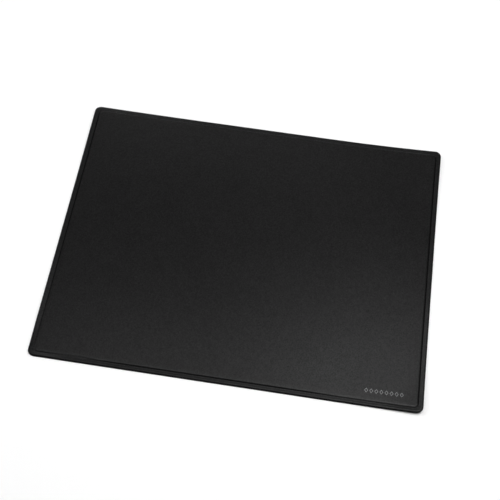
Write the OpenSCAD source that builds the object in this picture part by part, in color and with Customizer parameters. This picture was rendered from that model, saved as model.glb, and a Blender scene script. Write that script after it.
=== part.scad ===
// Desk mat: a grained cover film welded round a thin foam filler, on an anti-slip foam base.
// The mat lies flat. The origin is the middle of its underside, +Z is up, and the front edge is at -Y.

/* [Mat] */
// Width of the mat, left to right
mat_w = 630; // [400:10:900]
// Depth of the mat, front to back
mat_d = 500; // [300:10:600]
// Radius of the die-cut outer corners
corner_r = 11; // [8:0.5:12]

/* [Weld seam] */
// Width of the flat rim outside the seam
rim_w = 7; // [6:0.5:9]
// Width of the pressed groove at the top of the cover
groove_w = 2; // [1.5:0.25:3]
// Corner radius of the padded field inside the seam
field_r = 7; // [4:0.25:7]

/* [Layers] */
// Thickness of the anti-slip foam base
base_t = 2; // [1.4:0.1:4]
// Thickness of the backing film
backing_t = 0.3; // [0.2:0.05:0.4]
// Thickness of the foam filler under the field
filler_t = 1; // [0.6:0.1:3]
// Thickness of the grained cover film
cover_t = 0.5; // [0.4:0.05:0.8]

/* [Pressed seam] */
// How far the seam squashes the foam base
base_squash = 0.45; // [0.2:0.05:0.6]
// Thickness of the backing film where it is welded
backing_weld_t = 0.2; // [0.15:0.05:0.25]
// Thickness of the cover film where it is welded
cover_weld_t = 0.35; // [0.25:0.05:0.4]
// Thickness of the cover film on the steep sides of the seam
cover_side_t = 0.3; // [0.2:0.05:0.5]
// Thickness of the backing film on the steep sides of the seam
backing_side_t = 0.2; // [0.1:0.05:0.3]

/* [Corner mark] */
// Number of lozenges in the foil mark
mark_count = 8; // [3:1:9]
// Width of one lozenge
lozenge_w = 6; // [4:0.5:6]
// Height of one lozenge
lozenge_h = 8; // [5:0.5:11]
// Width of the foil line that outlines a lozenge
lozenge_line = 0.8; // [0.5:0.1:1.1]
// Distance from one lozenge to the next
mark_pitch = 8; // [6.5:0.5:10]
// Distance from the mat's right edge to the middle of the mark
mark_from_right = 63; // [60:1:120]
// Distance from the mat's front edge to the middle of the mark
mark_from_front = 26; // [20:1:60]
// Thickness of the foil
foil_t = 0.08; // [0.05:0.01:0.1]
// Depth that the stamping presses the foil into the cover
stamp_depth = 0.12; // [0.1:0.01:0.2]

/* [Hidden] */

// Fineness of the round corners
corner_fn = 64;
// How far a cutting solid reaches past the surface that it cuts
overrun = 5;

// Distance from the mat's edge to the padded field
field_inset = rim_w + groove_w;
// Radius of the groove's outer corners
groove_r = field_r + groove_w;
// Distance from the middle of a lozenge to its sides
lozenge_reach = lozenge_w * lozenge_h / 2 / norm([lozenge_w, lozenge_h]);

// Height of the rim, the seam and the field at the top of each layer
base_tops = [base_t, base_t - base_squash, base_t];
backing_tops = base_tops + [backing_t, backing_weld_t, backing_t];
filler_tops = backing_tops + [0, 0, filler_t];
cover_tops = filler_tops + [cover_t, cover_weld_t, cover_t];

// A rectangle that keeps the given distance from the mat's edge, with round corners
module inset_outline(inset, radius) {
    width = mat_w - 2 * inset;
    depth = mat_d - 2 * inset;
    square([width - 2 * radius, depth], center = true);
    square([width, depth - 2 * radius], center = true);
    for (side_x = [-1, 1], side_y = [-1, 1])
        translate([side_x * (width / 2 - radius), side_y * (depth / 2 - radius)])
            circle(r = radius, $fn = corner_fn);
}

// A flat slab with that outline, between two heights
module slab(inset, radius, z_low, z_high) {
    translate([0, 0, z_low])
        linear_extrude(z_high - z_low)
            inset_outline(inset, radius);
}

// Everything between the desk and the top of one layer.
// tops holds the heights of the rim, the seam and the field, and cover_over is the
// thickness of the films that lie over this surface on the steep sides of the seam.
module solid_up_to(tops, cover_over) {
    rim_top = tops[0];
    seam_top = tops[1];
    field_top = tops[2];
    // the rim, and the foot of the seam
    difference() {
        slab(0, corner_r, 0, rim_top);
        slab(rim_w - cover_over, groove_r + cover_over, seam_top, rim_top + overrun);
    }
    // the field inside the seam
    slab(field_inset + cover_over, field_r - cover_over, 0, field_top);
}

// The flat shape of a lozenge, at a share of its full size
module lozenge_shape(share) {
    half_w = share * lozenge_w / 2;
    half_h = share * lozenge_h / 2;
    polygon([[-half_w, 0], [0, -half_h], [half_w, 0], [0, half_h]]);
}

// One open lozenge of the mark, from the bottom of its stamped pocket to the given height
module lozenge(height) {
    linear_extrude(height)
        difference() {
            lozenge_shape(1);
            lozenge_shape(1 - lozenge_line / lozenge_reach);
        }
}

// The row of lozenges, or of the pockets that they lie in
module lozenge_row(height) {
    mark_x = mat_w / 2 - mark_from_right;
    mark_y = mark_from_front - mat_d / 2;
    for (i = [0 : mark_count - 1])
        translate([
            mark_x + (i - (mark_count - 1) / 2) * mark_pitch,
            mark_y,
            cover_tops[2] - stamp_depth
        ])
            lozenge(height);
}

// Black foam that keeps the mat from sliding
module anti_slip_base() {
    color("#1a1a1b")
        solid_up_to(base_tops, cover_side_t + backing_side_t);
}

// Thin film under the filler, welded to the cover along the seam
module backing_film() {
    color("#3a3a3d")
        difference() {
            solid_up_to(backing_tops, cover_side_t);
            solid_up_to(base_tops, cover_side_t + backing_side_t);
        }
}

// Foam sheet that raises the field, sealed in by the seam
module filler_pad() {
    color("#b9b5aa")
        slab(field_inset + cover_side_t, field_r - cover_side_t, backing_tops[2], filler_tops[2]);
}

// Leather-grained cover film, with the seam pressed in and pockets for the foil
module cover_sheet() {
    color("#2b2b2c")
        difference() {
            solid_up_to(cover_tops, 0);
            solid_up_to(filler_tops, cover_side_t);
            lozenge_row(overrun);
        }
}

// Silver foil lozenges near the front right corner
module corner_mark() {
    color("#9a9b9d")
        lozenge_row(foil_t);
}

anti_slip_base();
backing_film();
filler_pad();
cover_sheet();
corner_mark();
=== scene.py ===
"""Looks of the desk mat. Metres, in the frame of the CAD model: +X right, +Y back, +Z up."""
import math

import bpy
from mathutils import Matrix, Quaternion, Vector, noise


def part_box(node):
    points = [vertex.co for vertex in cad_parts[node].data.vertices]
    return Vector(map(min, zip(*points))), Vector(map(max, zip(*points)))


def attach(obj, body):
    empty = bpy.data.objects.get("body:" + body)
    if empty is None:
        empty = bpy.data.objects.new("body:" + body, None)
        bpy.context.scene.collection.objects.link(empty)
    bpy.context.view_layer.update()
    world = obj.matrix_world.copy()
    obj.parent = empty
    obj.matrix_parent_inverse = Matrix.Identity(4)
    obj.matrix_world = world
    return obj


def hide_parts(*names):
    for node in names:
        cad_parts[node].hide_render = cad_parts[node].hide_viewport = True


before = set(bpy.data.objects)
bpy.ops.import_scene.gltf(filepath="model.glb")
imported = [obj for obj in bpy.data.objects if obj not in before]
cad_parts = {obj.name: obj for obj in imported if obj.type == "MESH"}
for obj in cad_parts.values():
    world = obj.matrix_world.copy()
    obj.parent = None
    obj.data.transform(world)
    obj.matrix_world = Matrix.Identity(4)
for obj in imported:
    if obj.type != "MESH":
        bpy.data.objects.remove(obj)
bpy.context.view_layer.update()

MM = 0.001

# ---------------------------------------------------------------- camera

# places and distances in metres, angles in degrees, lens and sensor in millimetres
CAMERA_TARGET = Vector((0.0062, -0.0012, 0.0))
CAMERA_DISTANCE = 1.7244
CAMERA_AZIMUTH = 5.74
CAMERA_ELEVATION = 60.2
CAMERA_ROLL = 3.23
CAMERA_LENS = 73.38
SENSOR_WIDTH = 36.0


def make_camera():
    """A camera above the user's side of the mat, a little to the right."""
    azimuth = math.radians(CAMERA_AZIMUTH)
    elevation = math.radians(CAMERA_ELEVATION)
    back = Vector((
        math.sin(azimuth) * math.cos(elevation),
        -math.cos(azimuth) * math.cos(elevation),
        math.sin(elevation),
    ))
    data = bpy.data.cameras.new("camera")
    data.lens = CAMERA_LENS
    data.sensor_width = SENSOR_WIDTH
    camera = bpy.data.objects.new("camera", data)
    bpy.context.scene.collection.objects.link(camera)
    camera.rotation_mode = "QUATERNION"
    camera.location = CAMERA_TARGET + back * CAMERA_DISTANCE
    roll = Quaternion((0, 0, 1), math.radians(CAMERA_ROLL))
    camera.rotation_quaternion = (-back).to_track_quat("-Z", "Y") @ roll
    bpy.context.scene.camera = camera


# ---------------------------------------------------------------- sizes

BASE_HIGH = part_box("anti_slip_base")[1]
FILLER_LOW, FILLER_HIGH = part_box("filler_pad")
COVER_LOW, COVER_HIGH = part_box("cover_sheet")
MARK_LOW, MARK_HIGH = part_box("corner_mark")

HALF_W = BASE_HIGH.x
HALF_D = BASE_HIGH.y
BASE_TOP = BASE_HIGH.z
BACKING_TOP = FILLER_LOW.z
FILLER_TOP = FILLER_HIGH.z
FIELD_TOP = COVER_HIGH.z
COVER_T = FIELD_TOP - FILLER_TOP
RIM_TOP = BACKING_TOP + COVER_T

# sizes of the CAD model that the boxes of its nodes don't give
CORNER_R = 11 * MM
RIM_W = 7 * MM
GROOVE_W = 2 * MM
FIELD_R = 7 * MM
COVER_WELD_T = 0.35 * MM
BACKING_WELD_T = 0.2 * MM
COVER_SIDE_T = 0.3 * MM

GROOVE_R = FIELD_R + GROOVE_W
FIELD_INSET = RIM_W + GROOVE_W
# where the round corners of the nested loops have shrunk to a point
GRID_INSET = FIELD_INSET + FIELD_R


# ---------------------------------------------------------------- shape of the sheet

# the corners that curl up off the desk: side in x, side in y, height, reach.
# The front right corner curls twice, gently from far in and more near its tip.
CURLS = (
    (1, 1, 6.6 * MM, 136 * MM),
    (-1, 1, 1.9 * MM, 136 * MM),
    (1, -1, 2.7 * MM, 136 * MM),
    (1, -1, 2.2 * MM, 65 * MM),
    (-1, -1, 1.0 * MM, 80 * MM),
)


def curl(x, y):
    """How far the sheet stands off the desk: each corner bends up about its diagonal."""
    height = 0.0
    for side_x, side_y, corner_height, reach in CURLS:
        to_corner = ((HALF_W - side_x * x) + (HALF_D - side_y * y)) / math.sqrt(2)
        share = max(0.0, 1 - to_corner / reach)
        height += corner_height * share * share
    return height


def smooth(low, high, value):
    """0 below low, 1 above high, and a smooth step between."""
    t = min(1.0, max(0.0, (value - low) / (high - low)))
    return t * t * (3 - 2 * t)


def wave(x, y, wavelength, seed):
    """Smooth noise between about -1 and 1."""
    return noise.noise(Vector((x / wavelength, y / wavelength, seed)))


def edge_distance(x, y):
    """Distance to the nearest straight side of the mat."""
    return min(HALF_W - abs(x), HALF_D - abs(y))


# ---------------------------------------------------------------- meshes

CORNER_STEPS = 10
# edges that bend more than this many degrees stay sharp
SHARP_ANGLE = 50


def corner_radius(inset):
    """Radius of the corners of the loop that lies this far inside the mat's outline."""
    if inset <= RIM_W:
        return CORNER_R + (GROOVE_R - CORNER_R) * inset / RIM_W
    return max(0.0, GROOVE_R - (inset - RIM_W))


def grid_lines(half, step, edge_steps):
    """Places of the grid lines from -half to half: close together near the ends, then even."""
    near = [0.0]
    for gap in edge_steps:
        near.append(near[-1] + gap)
    inner = half - near[-1]
    count = max(2, round(2 * inner / step))
    middle = [-inner + 2 * inner * i / count for i in range(1, count)]
    left = [-half + d for d in near]
    right = [half - d for d in reversed(near)]
    return left + middle + right


def loop_points(inset, lines_x, lines_y):
    """One closed loop round the mat, counter-clockwise from the front left corner's end."""
    radius = corner_radius(inset)
    straight_x = HALF_W - inset - radius
    straight_y = HALF_D - inset - radius
    scale_x = straight_x / lines_x[-1]
    scale_y = straight_y / lines_y[-1]
    edge_x = HALF_W - inset
    edge_y = HALF_D - inset
    along_x = [x * scale_x for x in lines_x]
    along_y = [y * scale_y for y in lines_y]
    sides = (
        [(x, -edge_y) for x in along_x],
        [(edge_x, y) for y in along_y],
        [(x, edge_y) for x in reversed(along_x)],
        [(-edge_x, y) for y in reversed(along_y)],
    )
    centres = (
        (straight_x, -straight_y, -90),
        (straight_x, straight_y, 0),
        (-straight_x, straight_y, 90),
        (-straight_x, -straight_y, 180),
    )
    points = []
    for side, (centre_x, centre_y, start) in zip(sides, centres):
        points += side
        for i in range(1, CORNER_STEPS):
            angle = math.radians(start + 90 * i / CORNER_STEPS)
            points.append((centre_x + radius * math.cos(angle), centre_y + radius * math.sin(angle)))
    return points


class SheetMesh:
    """Vertices and faces of one closed sheet, made of loops round the edge and a grid inside."""

    def __init__(self, step, edge_steps):
        half_x = HALF_W - GRID_INSET
        half_y = HALF_D - GRID_INSET
        self.lines_x = grid_lines(half_x, step, edge_steps)
        self.lines_y = grid_lines(half_y, step, edge_steps)
        self.points = []
        self.faces = []
        self.insets = []
        self.pressed = []

    def add_loop(self, inset, height):
        """Adds a loop and returns its vertex numbers. height is a function of x, y and inset."""
        first = len(self.points)
        for x, y in loop_points(inset, self.lines_x, self.lines_y):
            self.points.append((x, y, height(x, y, inset) + rise(x, y, inset)))
            self.insets.append(inset)
            self.pressed.append(seam_dull_and_shade_share(x, y, inset))
        return list(range(first, len(self.points)))

    def join(self, outer, inner, up):
        """Faces between two loops with the same number of points."""
        count = len(outer)
        for i in range(count):
            j = (i + 1) % count
            face = [outer[i], outer[j], inner[j], inner[i]]
            self.faces.append(face if up else face[::-1])

    def add_grid(self, outer, height, up):
        """Fills the inside of a loop with a grid, and joins it to that loop."""
        nx = len(self.lines_x)
        ny = len(self.lines_y)
        first = len(self.points)
        for y in self.lines_y:
            for x in self.lines_x:
                inset = edge_distance(x, y)
                self.points.append((x, y, height(x, y, inset) + rise(x, y, inset)))
                self.insets.append(inset)
                self.pressed.append(0.0)

        def at(i, j):
            return first + j * nx + i

        for j in range(ny - 1):
            for i in range(nx - 1):
                face = [at(i, j), at(i + 1, j), at(i + 1, j + 1), at(i, j + 1)]
                self.faces.append(face if up else face[::-1])
        border = [at(i, 0) for i in range(nx)]
        border += [at(nx - 1, 0)] * (CORNER_STEPS - 1)
        border += [at(nx - 1, j) for j in range(ny)]
        border += [at(nx - 1, ny - 1)] * (CORNER_STEPS - 1)
        border += [at(i, ny - 1) for i in reversed(range(nx))]
        border += [at(0, ny - 1)] * (CORNER_STEPS - 1)
        border += [at(0, j) for j in reversed(range(ny))]
        border += [at(0, 0)] * (CORNER_STEPS - 1)
        count = len(outer)
        for i in range(count):
            j = (i + 1) % count
            face = [outer[i], outer[j], border[j], border[i]]
            if border[i] == border[j]:
                face.pop()
            self.faces.append(face if up else face[::-1])

    def build(self, name, material):
        """Makes the Blender object. Its two attributes are for its material to read."""
        mesh = bpy.data.meshes.new(name)
        mesh.from_pydata(self.points, [], self.faces)
        mesh.update()
        inset = mesh.attributes.new("inset_mm", "FLOAT", "POINT")
        inset.data.foreach_set("value", [d / MM for d in self.insets])
        # the pressed attribute carries the seam's dullness and its painted shade to the cover's material
        pressed = mesh.attributes.new("pressed", "FLOAT", "POINT")
        pressed.data.foreach_set("value", self.pressed)
        mesh.shade_smooth()
        mesh.set_sharp_from_angle(angle=math.radians(SHARP_ANGLE))
        mesh.materials.append(material)
        piece = bpy.data.objects.new(name, mesh)
        bpy.context.scene.collection.objects.link(piece)
        return piece


def make_sheet(name, material, top_loops, side_loops, bottom_loops, top, bottom, step, edge_steps):
    """A closed sheet. The loops' lists hold insets, top and bottom are height functions,
    and side_loops holds an inset and a height function for each loop down the outer wall."""
    sheet = SheetMesh(step, edge_steps)
    loops = [sheet.add_loop(inset, top) for inset in top_loops]
    sheet.add_grid(loops[-1], top, True)
    for outer, inner in zip(loops, loops[1:]):
        sheet.join(outer, inner, True)
    previous = loops[0]
    for inset, height in side_loops:
        wall = sheet.add_loop(inset, height)
        sheet.join(wall, previous, True)
        previous = wall
    for inset in bottom_loops:
        under = sheet.add_loop(inset, bottom)
        sheet.join(under, previous, True)
        previous = under
    sheet.add_grid(previous, bottom, False)
    return sheet.build(name, material)


# ---------------------------------------------------------------- heights of the layers

BACKING_T = BACKING_TOP - BASE_TOP
SEAM_TOP = COVER_LOW.z + COVER_WELD_T
SEAM_FOOT = COVER_LOW.z - BACKING_WELD_T

# values for the front, right, back and left side of the mat:
# how far the outer edge of the rim stands above its inner edge
RIM_LIFTS = (0.45 * MM, 0.3 * MM, -0.45 * MM, 0.9 * MM)
# how far the outer edge is rounded down
EDGE_FALLS = (1.8 * MM, 1.3 * MM, 0.4 * MM, 0.3 * MM)
# how deep the seam is pressed, as a share of its full depth
SEAM_SHARES = (1.0, 1.0, 0.1, 1.0)
# how much the pressing dulls the film, and how strongly the film is darkened there as painted shade
SEAM_DULL_AND_SHADE_SHARES = (0.0, 0.85, 0.4, 1.0)
# near a corner the values of two sides are mixed over about this length
MIX_LENGTH = 3 * MM
# at the front left corner the outer edge of the rim stands this high above its inner edge,
# in full up to the first distance from the corner and not at all from the second
CORNER_LIFT = -0.45 * MM
CORNER_LIFT_FULL = 30 * MM
CORNER_LIFT_END = 72 * MM
# height and length of the ripples along the rim
RIM_WAVE = 0.07 * MM
RIM_WAVELENGTH = 28 * MM
RIM_WAVE_SEED = 4.5

# width of the rounding along the outer edge
EDGE_W = 3.2 * MM

# a loop this far from a crease keeps the crease narrow
BESIDE = 0.12 * MM

# where the rim starts to fall, where the floor of the groove starts and where it ends
GROOVE_RIM = RIM_W + 0.6 * MM
GROOVE_FLOOR = RIM_W + 0.95 * MM
SHOULDER_START = RIM_W + 1.2 * MM
# width of the rounded shoulder of the padded field
SHOULDER_W = 4 * MM
# where the layers under the cover start to be pressed down, and where they are flat again
SQUASH_START = RIM_W - 0.5 * MM
SQUASH_END = FIELD_INSET + 1 * MM
# where the seam is less deep than this share, the shoulder starts with a soft curve
TIGHT_SHARE = 0.15
# the dull part of the seam, which is also painted darker as shade, ends this far up the shoulder
SEAM_DULL_AND_SHADE_FADE = 2.5 * MM
# height and length of the swells of the padded field
FIELD_WAVE = 0.05 * MM
FIELD_WAVELENGTH = 110 * MM
FIELD_WAVE_SEED = 1.5

# where the front seam is pressed less deep: place in x, reach, share of the depth that is missing
SHALLOW_PLACES = (
    (240 * MM, 130 * MM, 0.85),
    (-290 * MM, 160 * MM, 1.0),
)
# the share of that reach over which the seam stays equally shallow
SHALLOW_CORE = 0.4


def side_mix(x, y, values):
    """The value of the nearest side, mixed with its neighbour's near a corner."""
    distances = (HALF_D + y, HALF_W - x, HALF_D - y, HALF_W + x)
    weights = [1 / (max(0.0, distance) + MIX_LENGTH) ** 2 for distance in distances]
    return sum(weight * value for weight, value in zip(weights, values)) / sum(weights)


def rim_lift(x, y):
    """How far the outer edge of the rim stands above its inner edge."""
    lift = side_mix(x, y, RIM_LIFTS)
    from_corner = math.hypot(x + HALF_W, y + HALF_D)
    near = 1 - smooth(CORNER_LIFT_FULL, CORNER_LIFT_END, from_corner)
    ripple = RIM_WAVE * wave(x, y, RIM_WAVELENGTH, RIM_WAVE_SEED)
    return lift + (CORNER_LIFT - lift) * near + ripple


def rise(x, y, inset):
    """What moves the top of every layer together: curled corners, the rim's slope and its round edge."""
    outward = max(0.0, 1 - inset / RIM_W)
    rounding = side_mix(x, y, EDGE_FALLS) * max(0.0, 1 - inset / EDGE_W) ** 2
    return curl(x, y) + rim_lift(x, y) * outward - rounding


def seam_share(x, y):
    """How deep the seam is pressed at a place, as a share of its full depth."""
    missing = 0.0
    for place_x, reach, share in SHALLOW_PLACES:
        fade = smooth(SHALLOW_CORE * reach, reach, abs(x - place_x))
        missing = max(missing, share * (1 - fade))
    front_share = side_mix(x, y, (1.0, 0.0, 0.0, 0.0))
    return (1 - missing * front_share) * side_mix(x, y, SEAM_SHARES)


def in_seam(x, y, inset):
    """1 under the fully pressed seam and 0 outside it."""
    into = smooth(SQUASH_START, GROOVE_FLOOR, inset)
    out_of = smooth(SHOULDER_START, SQUASH_END, inset)
    return into * (1 - out_of) * seam_share(x, y)


def seam_dull_and_shade_share(x, y, inset):
    """How dull the die left the cover film at a place, from 0 to 1. The same share darkens the film's
    colour there as painted shade.
    """
    into = smooth(GROOVE_RIM, GROOVE_FLOOR, inset)
    out_of = smooth(SHOULDER_START, SHOULDER_START + SEAM_DULL_AND_SHADE_FADE, inset)
    return into * (1 - out_of) * seam_share(x, y) * side_mix(x, y, SEAM_DULL_AND_SHADE_SHARES)


def cover_top(x, y, inset):
    """Top of the cover film: the rim, the groove and the padded field."""
    groove_top = RIM_TOP + (SEAM_TOP - RIM_TOP) * seam_share(x, y)
    if inset > SHOULDER_START:
        share = min(1.0, (inset - SHOULDER_START) / SHOULDER_W)
        tight = min(1.0, seam_share(x, y) / TIGHT_SHARE)
        pillow = tight * math.sqrt(1 - (1 - share) ** 2) + (1 - tight) * smooth(0.0, 1.0, share)
        swell = FIELD_WAVE * wave(x, y, FIELD_WAVELENGTH, FIELD_WAVE_SEED) * share
        return groove_top + (FIELD_TOP - groove_top) * pillow + swell
    pressed = smooth(GROOVE_RIM, GROOVE_FLOOR, inset)
    return RIM_TOP + (groove_top - RIM_TOP) * pressed


def base_top(x, y, inset):
    """Top of the foam base, squashed under the seam."""
    return BASE_TOP + (SEAM_FOOT - BASE_TOP) * in_seam(x, y, inset)


def backing_top(x, y, inset):
    """Top of the backing film."""
    thickness = BACKING_T + (BACKING_WELD_T - BACKING_T) * in_seam(x, y, inset)
    return base_top(x, y, inset) + thickness


def cover_bottom(x, y, inset):
    """Underside of the cover film, down on the backing film except over the filler."""
    return max(backing_top(x, y, inset), cover_top(x, y, inset) - COVER_T)


def underside(x, y, inset):
    """The face that lies on the desk and only curls up: what rise adds besides is taken off here."""
    return curl(x, y) - rise(x, y, inset)


def level(height):
    """A height function that is the same everywhere."""
    return lambda x, y, inset: height


def up_the_foam(share):
    """A height function: this share of the way from the underside to the top of the foam."""
    return lambda x, y, inset: BASE_TOP - (1 - share) * (BASE_TOP - underside(x, y, inset))


# ---------------------------------------------------------------- materials

def new_material(name):
    """An empty material: returns it with its node tree, its shader and a function that adds nodes."""
    material = bpy.data.materials.new(name)
    material.use_nodes = True
    tree = material.node_tree
    shader = tree.nodes["Principled BSDF"]

    def add(kind, settings=(), **inputs):
        """Adds a node. An input goes by its name, or by the letter i and its number."""
        made = tree.nodes.new(kind)
        for key, value in dict(settings).items():
            setattr(made, key, value)
        for key, value in inputs.items():
            numbered = key[0] == "i" and key[1:].isdigit()
            socket = made.inputs[int(key[1:]) if numbered else key]
            if isinstance(value, bpy.types.NodeSocket):
                tree.links.new(value, socket)
            else:
                socket.default_value = value
        return made

    return material, tree, shader, add


def set_input(tree, shader, name, value):
    """Gives one input of a shader a value or a link."""
    if isinstance(value, bpy.types.NodeSocket):
        tree.links.new(value, shader.inputs[name])
    else:
        shader.inputs[name].default_value = value


def spots(add, place, size, detail=2.0):
    """Smooth noise whose blotches are about this size, from 0 to 1."""
    return add("ShaderNodeTexNoise", Vector=place, Scale=1 / size, Detail=detail).outputs["Fac"]


def remap(add, value, low, high, new_low, new_high):
    """A value moved from one range to another, and kept inside the new one."""
    made = add("ShaderNodeMapRange", Value=value)
    made.inputs["From Min"].default_value = low
    made.inputs["From Max"].default_value = high
    made.inputs["To Min"].default_value = new_low
    made.inputs["To Max"].default_value = new_high
    return made.outputs["Result"]


def blend_value(add, operation, a, b):
    """Two values joined by a sum, a product or the like."""
    return add("ShaderNodeMath", {"operation": operation}, i0=a, i1=b).outputs[0]


def bump(add, height, depth, under=None):
    """A bump whose full height is depth metres."""
    made = add("ShaderNodeBump", Height=height, Distance=depth, Strength=1.0)
    if under is not None:
        made.id_data.links.new(under, made.inputs["Normal"])
    return made.outputs["Normal"]


# most values of smooth noise lie between these two
NOISE_LOW = 0.3
NOISE_HIGH = 0.7

# size and depth of the grain's cells, of the pores on them and of the clumps that they form
GRAIN_SIZE = 1.5 * MM
GRAIN_DEPTH = 0.018 * MM
PORE_SIZE = 0.35 * MM
PORE_DEPTH = 0.003 * MM
CLUMP_SIZE = 3.5 * MM
CLUMP_DEPTH = 0.008 * MM
# a valley reaches this share of a cell's size into the cell, and its bottom has this tone
VALLEY_W = 0.28
VALLEY_TONE = 0.6
# noise of this size bends the cells' borders, by about this many metres
BEND_SIZE = 2.5 * GRAIN_SIZE
BEND_SHARE = 0.0005

COVER_COLOUR = (0.0044, 0.0044, 0.0045, 1)
COVER_IOR = 1.45
COVER_GLOSS = 0.175
# share of that gloss on the dullest and on the glossiest cell
CELL_GLOSS = (0.6, 1.4)
# size of the more and the less polished places, and their roughness
POLISH_SIZE = 60 * MM
POLISH_ROUGHNESS = (0.30, 0.32)
# size of the darker and the lighter blotches, and their tone
TONE_SIZE = 12 * MM
TONE_RANGE = (0.85, 1.15)

# the cut edge of the film ends between these distances from the outline, in mm
CUT_END = (0.05, 0.25)
CUT_ROUGHNESS = 0.8
# along this line, in mm from the outline, the shoulder is rubbed paler, to this far on each side
RUBBED_LINE = (SHOULDER_START + 0.6 * SHOULDER_W) / MM
RUBBED_REACH = 1.6
RUBBED_TONE = 1.5
# painted shade: the film's colour is darkened to this tone where the die pressed the seam, standing in
# for the shade in the groove
PAINTED_SEAM_SHADE_TONE = 0.25

# Seen at a glancing angle, the grain hides its own bright sides. The gloss falls between these two
# values of 1 minus the cosine of the angle to the surface's normal.
GLANCE_START = 0.7
GLANCE_FULL = 0.935
# share of the gloss that is left there
GLANCE_GLOSS = 0.0003


def cover_grain(add, tree, place):
    """The leather grain: how far up out of the valleys a point lies, and a random value for its cell."""
    bend = add("ShaderNodeTexNoise", Vector=place, Scale=1 / BEND_SIZE).outputs["Color"]
    bent = add("ShaderNodeMix", {"data_type": "VECTOR"}, Factor=BEND_SHARE)
    tree.links.new(place, bent.inputs[4])
    tree.links.new(bend, bent.inputs[5])
    at = bent.outputs[1]
    cells = add("ShaderNodeTexVoronoi", {"feature": "DISTANCE_TO_EDGE"}, Vector=at, Scale=1 / GRAIN_SIZE)
    tints = add("ShaderNodeTexVoronoi", {"feature": "F1"}, Vector=at, Scale=1 / GRAIN_SIZE)
    pebbles = remap(add, cells.outputs["Distance"], 0.0, VALLEY_W, 0.0, 1.0)
    return pebbles, tints.outputs["Color"]


def cover_tone(add, place, pebbles, inset, pressed):
    """How light the film is: blotches, valleys, the rubbed shoulder, and painted shade in the pressed
    seam.
    """
    blotches = remap(add, spots(add, place, TONE_SIZE), NOISE_LOW, NOISE_HIGH, *TONE_RANGE)
    valleys = remap(add, pebbles, 0.0, 1.0, VALLEY_TONE, 1.0)
    beside = blend_value(add, "SUBTRACT", inset, RUBBED_LINE)
    from_line = blend_value(add, "ABSOLUTE", beside, 0.0)
    rubbed = remap(add, from_line, 0.0, RUBBED_REACH, RUBBED_TONE, 1.0)
    tone = blend_value(add, "MULTIPLY", blotches, valleys)
    tone = blend_value(add, "MULTIPLY", tone, rubbed)
    # painted shade: the colour is darkened where the die pressed the seam, standing in for the shade in
    # the groove
    return blend_value(add, "MULTIPLY", tone, remap(add, pressed, 0.0, 1.0, 1.0, PAINTED_SEAM_SHADE_TONE))


def cover_gloss(add, cut, pressed, tints):
    """How much the film reflects: less where it is cut, pressed or seen at a glancing angle."""
    cell_gloss = remap(add, tints, 0.0, 1.0, *CELL_GLOSS)
    gloss = blend_value(add, "MULTIPLY", remap(add, cut, 0.0, 1.0, COVER_GLOSS, 0.0), cell_gloss)
    gloss = blend_value(add, "MULTIPLY", gloss, remap(add, pressed, 0.0, 1.0, 1.0, 0.0))
    facing = add("ShaderNodeLayerWeight", Blend=0.5).outputs["Facing"]
    glance = remap(add, facing, GLANCE_START, GLANCE_FULL, 1.0, GLANCE_GLOSS)
    return blend_value(add, "MULTIPLY", gloss, glance)


def cover_material():
    """Near-black satin vinyl with a fine leather grain, duller where it was cut."""
    material, tree, shader, add = new_material("cover_film")
    place = add("ShaderNodeTexCoord").outputs["Object"]
    inset = add("ShaderNodeAttribute", {"attribute_name": "inset_mm"}).outputs["Fac"]
    # the seam's dullness and its painted shade
    pressed = add("ShaderNodeAttribute", {"attribute_name": "pressed"}).outputs["Fac"]
    pebbles, tints = cover_grain(add, tree, place)

    colour = add("ShaderNodeMix", {"data_type": "RGBA", "blend_type": "MULTIPLY"}, Factor=1.0)
    colour.inputs[6].default_value = COVER_COLOUR
    tree.links.new(cover_tone(add, place, pebbles, inset, pressed), colour.inputs[7])
    set_input(tree, shader, "Base Color", colour.outputs[2])

    cut = remap(add, inset, *CUT_END, 1.0, 0.0)
    cut_roughness = blend_value(add, "MULTIPLY", cut, CUT_ROUGHNESS)
    polish_noise = spots(add, place, POLISH_SIZE, detail=3.0)
    polish = remap(add, polish_noise, NOISE_LOW, NOISE_HIGH, *POLISH_ROUGHNESS)
    set_input(tree, shader, "Roughness", blend_value(add, "MAXIMUM", polish, cut_roughness))
    set_input(tree, shader, "IOR", COVER_IOR)
    set_input(tree, shader, "Specular IOR Level", cover_gloss(add, cut, pressed, tints))

    clumps = bump(add, spots(add, place, CLUMP_SIZE), CLUMP_DEPTH)
    grain = bump(add, pebbles, GRAIN_DEPTH, clumps)
    pores = bump(add, spots(add, place, PORE_SIZE), PORE_DEPTH, grain)
    set_input(tree, shader, "Normal", pores)
    return material


BASE_COLOUR = (0.003, 0.003, 0.0032)
BASE_CELL = 0.5 * MM
FILLER_COLOUR = (0.48, 0.46, 0.4)
FILLER_CELL = 0.8 * MM
FOAM_CELL_DEPTH = 0.1 * MM
FOAM_ROUGHNESS = 0.85
# a foam cell has this tone at this share of its size from its middle, where it is lightest
FOAM_CELL_TONE = 0.6
FOAM_CELL_REACH = 0.8


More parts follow.
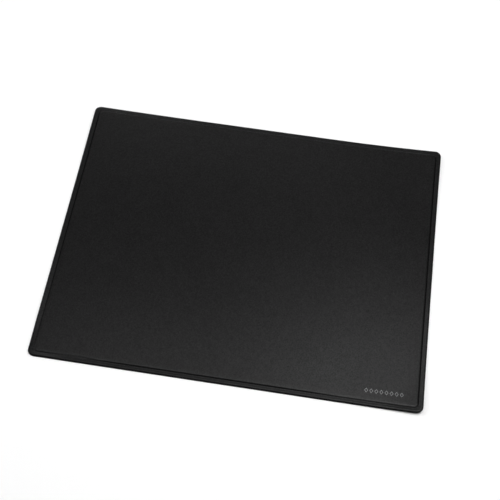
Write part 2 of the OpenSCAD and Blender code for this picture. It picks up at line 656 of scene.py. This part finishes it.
def foam_material(name, colour, cell):
    """Matte closed-cell foam, with cells of this size."""
    material, tree, shader, add = new_material(name)
    place = add("ShaderNodeTexCoord").outputs["Object"]
    cells = add("ShaderNodeTexVoronoi", {"feature": "F1"}, Vector=place, Scale=1 / cell)
    tint = remap(add, cells.outputs["Distance"], 0.0, FOAM_CELL_REACH, 1.0, FOAM_CELL_TONE)
    shade = add("ShaderNodeMix", {"data_type": "RGBA", "blend_type": "MULTIPLY"}, Factor=1.0)
    shade.inputs[6].default_value = (*colour, 1)
    tree.links.new(tint, shade.inputs[7])
    set_input(tree, shader, "Base Color", shade.outputs[2])
    set_input(tree, shader, "Roughness", FOAM_ROUGHNESS)
    set_input(tree, shader, "Specular IOR Level", 0.0)
    set_input(tree, shader, "Normal", bump(add, cells.outputs["Distance"], FOAM_CELL_DEPTH))
    return material


BACKING_COLOUR = (0.004, 0.004, 0.0042, 1)
BACKING_GLOSS = 0.03
BACKING_ROUGHNESS = (0.5, 0.65)
BACKING_STREAK_SIZE = 4 * MM
BACKING_STREAK_DEPTH = 0.01 * MM


def backing_material():
    """Thin plain vinyl, seen only at the die-cut edge."""
    material, tree, shader, add = new_material("backing_film")
    place = add("ShaderNodeTexCoord").outputs["Object"]
    streaks = spots(add, place, BACKING_STREAK_SIZE)
    roughness = remap(add, streaks, NOISE_LOW, NOISE_HIGH, *BACKING_ROUGHNESS)
    set_input(tree, shader, "Base Color", BACKING_COLOUR)
    set_input(tree, shader, "Specular IOR Level", BACKING_GLOSS)
    set_input(tree, shader, "Roughness", roughness)
    set_input(tree, shader, "Normal", bump(add, streaks, BACKING_STREAK_DEPTH))
    return material


FOIL_RUBBED_COLOUR = (0.072, 0.072, 0.074, 1)
FOIL_COLOUR = (0.128, 0.128, 0.131, 1)
FOIL_METALLIC = 0.6
FOIL_ROUGHNESS = (0.35, 0.55)
FOIL_RUB_SIZE = 1.2 * MM
FOIL_RUB_DEPTH = 0.01 * MM
# the foil is fully rubbed where the noise is below the first value, and whole above the second
FOIL_RUB_RANGE = (0.35, 0.65)


def foil_material():
    """Silver foil, a little rubbed."""
    material, tree, shader, add = new_material("mark_foil")
    place = add("ShaderNodeTexCoord").outputs["Object"]
    rub = spots(add, place, FOIL_RUB_SIZE, detail=4.0)
    whole = remap(add, rub, *FOIL_RUB_RANGE, 0.0, 1.0)
    shade = add("ShaderNodeMix", {"data_type": "RGBA"}, Factor=whole)
    shade.inputs[6].default_value = FOIL_RUBBED_COLOUR
    shade.inputs[7].default_value = FOIL_COLOUR
    set_input(tree, shader, "Base Color", shade.outputs[2])
    set_input(tree, shader, "Metallic", FOIL_METALLIC)
    set_input(tree, shader, "Roughness", remap(add, rub, NOISE_LOW, NOISE_HIGH, *FOIL_ROUGHNESS))
    set_input(tree, shader, "Normal", bump(add, rub, FOIL_RUB_DEPTH))
    return material


FLOOR_COLOUR = (0.85, 0.85, 0.85, 1)
FLOOR_ROUGHNESS = 0.9
FLOOR_GLOW = (1, 1, 1, 1)
# the floor starts to glow and glows fully at these distances from the mat's middle
GLOW_START = 0.9
GLOW_FULL = 4.5


def floor_material():
    """Plain white paper, that glows far from the mat, where the softboxes don't reach."""
    material, tree, shader, add = new_material("floor")
    place = add("ShaderNodeTexCoord").outputs["Object"]
    distance = add("ShaderNodeVectorMath", {"operation": "LENGTH"}, i0=place).outputs["Value"]
    glow = remap(add, distance, GLOW_START, GLOW_FULL, 0.0, 1.0)
    set_input(tree, shader, "Base Color", FLOOR_COLOUR)
    set_input(tree, shader, "Roughness", FLOOR_ROUGHNESS)
    set_input(tree, shader, "Emission Color", FLOOR_GLOW)
    set_input(tree, shader, "Emission Strength", glow)
    return material


# ---------------------------------------------------------------- pieces

# size of the grid's cells on the surfaces that show and on those that the cover hides
STEP = 4 * MM
HIDDEN_STEP = 12 * MM
# gaps between the grid's outermost lines
EDGE_STEPS = (1 * MM, 1.5 * MM, 2 * MM, 3 * MM)
# loops that follow the round edge and the seam on the surfaces that the cover hides
EDGE_INSETS = [EDGE_W * i / 4 for i in range(1, 5)] + [SQUASH_START]
# the foam's outer wall, a little hollow: inset in mm and share of the height, from the top down
FOAM_WALL = ((0.12, 0.8), (0.16, 0.5), (0.1, 0.15), (0.2, 0.0))
SEAM_INSETS = [RIM_W, GROOVE_FLOOR, SHOULDER_START, FIELD_INSET, SQUASH_END, SQUASH_END + 1 * MM]
# loops on the underside of the foam
UNDERSIDE_INSETS = [1 * MM, 3 * MM, FIELD_INSET]
# distances from the filler's edge to the loops on its top and to the one on its underside
FILLER_TOP_GAPS = (0, 0.5 * MM, 1.2 * MM, 2.2 * MM)
FILLER_UNDER_GAP = 1 * MM
# how far the edge of each hidden layer lies back from the edge of the cover
BACKING_SET_BACK = 0.04 * MM
BASE_SET_BACK = 0.06 * MM

# number of loops up the shoulder, how strongly they crowd at its foot, and the least gap to the grid
SHOULDER_LOOPS = 10
SHOULDER_CROWDING = 1.8
GRID_GAP = 0.1 * MM


def shoulder_insets():
    """Loops up the padded shoulder, closest where it is steepest."""
    shares = [(i / SHOULDER_LOOPS) ** SHOULDER_CROWDING for i in range(SHOULDER_LOOPS + 1)]
    top = [SHOULDER_START + SHOULDER_W * share for share in shares]
    return [inset for inset in top if inset < GRID_INSET - GRID_GAP]


def make_cover():
    """The cover film with its rim, groove and padded field."""
    edge = [EDGE_W * i / 8 for i in range(1, 9)]
    rim = [EDGE_W + (RIM_W - EDGE_W) * i / 5 for i in range(1, 5)]
    fall = [GROOVE_RIM + (GROOVE_FLOOR - GROOVE_RIM) * i / 6 for i in range(7)]
    groove = [GROOVE_RIM - BESIDE] + fall + [GROOVE_FLOOR + BESIDE, SHOULDER_START - BESIDE]
    insets = [0.0] + edge + rim + groove + shoulder_insets()
    return make_sheet(
        "cover", cover_material(), insets, [(0.0, level(BACKING_TOP))],
        EDGE_INSETS + SEAM_INSETS, cover_top, cover_bottom, STEP, EDGE_STEPS,
    )


def make_backing():
    """The film under the filler, welded to the cover at the seam."""
    insets = [BACKING_SET_BACK] + EDGE_INSETS + SEAM_INSETS
    return make_sheet(
        "backing", backing_material(), insets, [(BACKING_SET_BACK, level(BASE_TOP))],
        insets[1:], backing_top, base_top, HIDDEN_STEP, EDGE_STEPS,
    )


def make_base():
    """The anti-slip foam."""
    insets = [BASE_SET_BACK] + EDGE_INSETS + SEAM_INSETS
    wall = [(inset * MM, up_the_foam(share)) for inset, share in FOAM_WALL]
    return make_sheet(
        "base", foam_material("base_foam", BASE_COLOUR, BASE_CELL), insets, wall,
        UNDERSIDE_INSETS, base_top, underside, HIDDEN_STEP, EDGE_STEPS,
    )


def make_filler():
    """The foam sheet sealed in under the field."""
    side = FIELD_INSET + COVER_SIDE_T
    insets = [side + gap for gap in FILLER_TOP_GAPS]
    return make_sheet(
        "filler", foam_material("filler_foam", FILLER_COLOUR, FILLER_CELL), insets,
        [(side, level(BACKING_TOP))], [side + FILLER_UNDER_GAP],
        cover_bottom, backing_top, HIDDEN_STEP, EDGE_STEPS,
    )


LOZENGE_COUNT = 8
LOZENGE_W = 6 * MM
LOZENGE_H = MARK_HIGH.y - MARK_LOW.y
LOZENGE_PITCH = (MARK_HIGH.x - MARK_LOW.x - LOZENGE_W) / (LOZENGE_COUNT - 1)
LOZENGE_STROKE = 0.8 * MM
# how far the foil stands above the cover, and its thickness
FOIL_PROUD = 0.02 * MM
FOIL_T = 0.06 * MM


def make_mark():
    """The row of foil lozenges, lying on the cover."""
    points = []
    faces = []
    middle_y = (MARK_LOW.y + MARK_HIGH.y) / 2
    half_w = LOZENGE_W / 2
    half_h = LOZENGE_H / 2
    side_distance = half_w * half_h / math.hypot(half_w, half_h)
    hole = (side_distance - LOZENGE_STROKE) / side_distance
    for k in range(LOZENGE_COUNT):
        middle_x = MARK_LOW.x + half_w + k * LOZENGE_PITCH
        first = len(points)
        for depth in (FOIL_PROUD, FOIL_PROUD - FOIL_T):
            for size in (1.0, hole):
                for dx, dy in ((-half_w, 0), (0, -half_h), (half_w, 0), (0, half_h)):
                    x = middle_x + dx * size
                    y = middle_y + dy * size
                    inset = edge_distance(x, y)
                    points.append((x, y, cover_top(x, y, inset) + rise(x, y, inset) + depth))
        for i in range(4):
            j = (i + 1) % 4
            top_out, top_in, low_out, low_in = (first + 4 * ring for ring in range(4))
            faces.append([top_out + i, top_out + j, top_in + j, top_in + i])
            faces.append([low_out + j, low_out + i, low_in + i, low_in + j])
            faces.append([low_out + i, low_out + j, top_out + j, top_out + i])
            faces.append([top_in + i, top_in + j, low_in + j, low_in + i])
    mesh = bpy.data.meshes.new("mark")
    mesh.from_pydata(points, [], faces)
    mesh.update()
    mesh.materials.append(foil_material())
    piece = bpy.data.objects.new("mark", mesh)
    bpy.context.scene.collection.objects.link(piece)
    return piece


# ---------------------------------------------------------------- stage

FLOOR_HALF = 6.0


def make_floor():
    """A wide plain floor."""
    corners = [(-FLOOR_HALF, -FLOOR_HALF, 0), (FLOOR_HALF, -FLOOR_HALF, 0),
               (FLOOR_HALF, FLOOR_HALF, 0), (-FLOOR_HALF, FLOOR_HALF, 0)]
    mesh = bpy.data.meshes.new("floor")
    mesh.from_pydata(corners, [], [(0, 1, 2, 3)])
    mesh.materials.append(floor_material())
    floor = bpy.data.objects.new("floor", mesh)
    bpy.context.scene.collection.objects.link(floor)


# name, place, width, depth, power in watts, and whether it is aimed at the mat or faces straight down
SOFTBOXES = (
    ("key_softbox", (0.54, 0.15, 2.0), 0.8, 1.34, 22.7, False),
    ("wide_softbox", (0.0, 0.07, 2.0), 2.03, 1.3, 21.3, False),
    ("back_left_softbox", (-1.18, 2.17, 2.0), 1.13, 0.56, 10.1, False),
    ("right_softbox", (2.26, 0.0, 2.26), 2.4, 1.8, 29.0, True),
    ("left_softbox", (-2.83, 0.0, 1.5), 2.4, 1.8, 48.0, True),
    ("back_softbox", (0.0, 2.26, 2.26), 1.2, 0.9, 5.2, True),
)
# the pale surroundings reach this high above the horizon, and fade out above it
HORIZON_TOP = 12.0
HORIZON_FADE = 20.0


def make_softbox(name, place, width, depth, power, aimed):
    """A rectangular soft light."""
    data = bpy.data.lights.new(name, "AREA")
    data.shape = "RECTANGLE"
    data.size = width
    data.size_y = depth
    data.energy = power
    light = bpy.data.objects.new(name, data)
    bpy.context.scene.collection.objects.link(light)
    light.location = place
    if aimed:
        light.rotation_mode = "QUATERNION"
        light.rotation_quaternion = (-Vector(place)).to_track_quat("-Z", "Y")


def make_world():
    """Pale surroundings near the horizon, and a dark ceiling above them."""
    world = bpy.data.worlds.new("studio")
    world.use_nodes = True
    tree = world.node_tree
    direction = tree.nodes.new("ShaderNodeTexCoord").outputs["Generated"]
    split = tree.nodes.new("ShaderNodeSeparateXYZ")
    tree.links.new(direction, split.inputs["Vector"])
    fade = tree.nodes.new("ShaderNodeMapRange")
    fade.inputs["From Min"].default_value = math.sin(math.radians(HORIZON_TOP))
    fade.inputs["From Max"].default_value = math.sin(math.radians(HORIZON_FADE))
    fade.inputs["To Min"].default_value = 1.0
    fade.inputs["To Max"].default_value = 0.0
    tree.links.new(split.outputs["Z"], fade.inputs["Value"])
    tree.links.new(fade.outputs["Result"], tree.nodes["Background"].inputs["Color"])
    bpy.context.scene.world = world


make_camera()
cover = make_cover()
backing = make_backing()
filler = make_filler()
base = make_base()
mark = make_mark()
for piece, node, slot in (
    (cover, "cover_sheet", "cover_film"),
    (backing, "backing_film", "backing_film"),
    (filler, "filler_pad", "filler_foam"),
    (base, "anti_slip_base", "base_foam"),
    (mark, "corner_mark", "mark_foil"),
):
    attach(piece, "root")
    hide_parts(node)
make_floor()
for softbox in SOFTBOXES:
    make_softbox(*softbox)
make_world()
bpy.context.scene.view_settings.view_transform = "Standard"
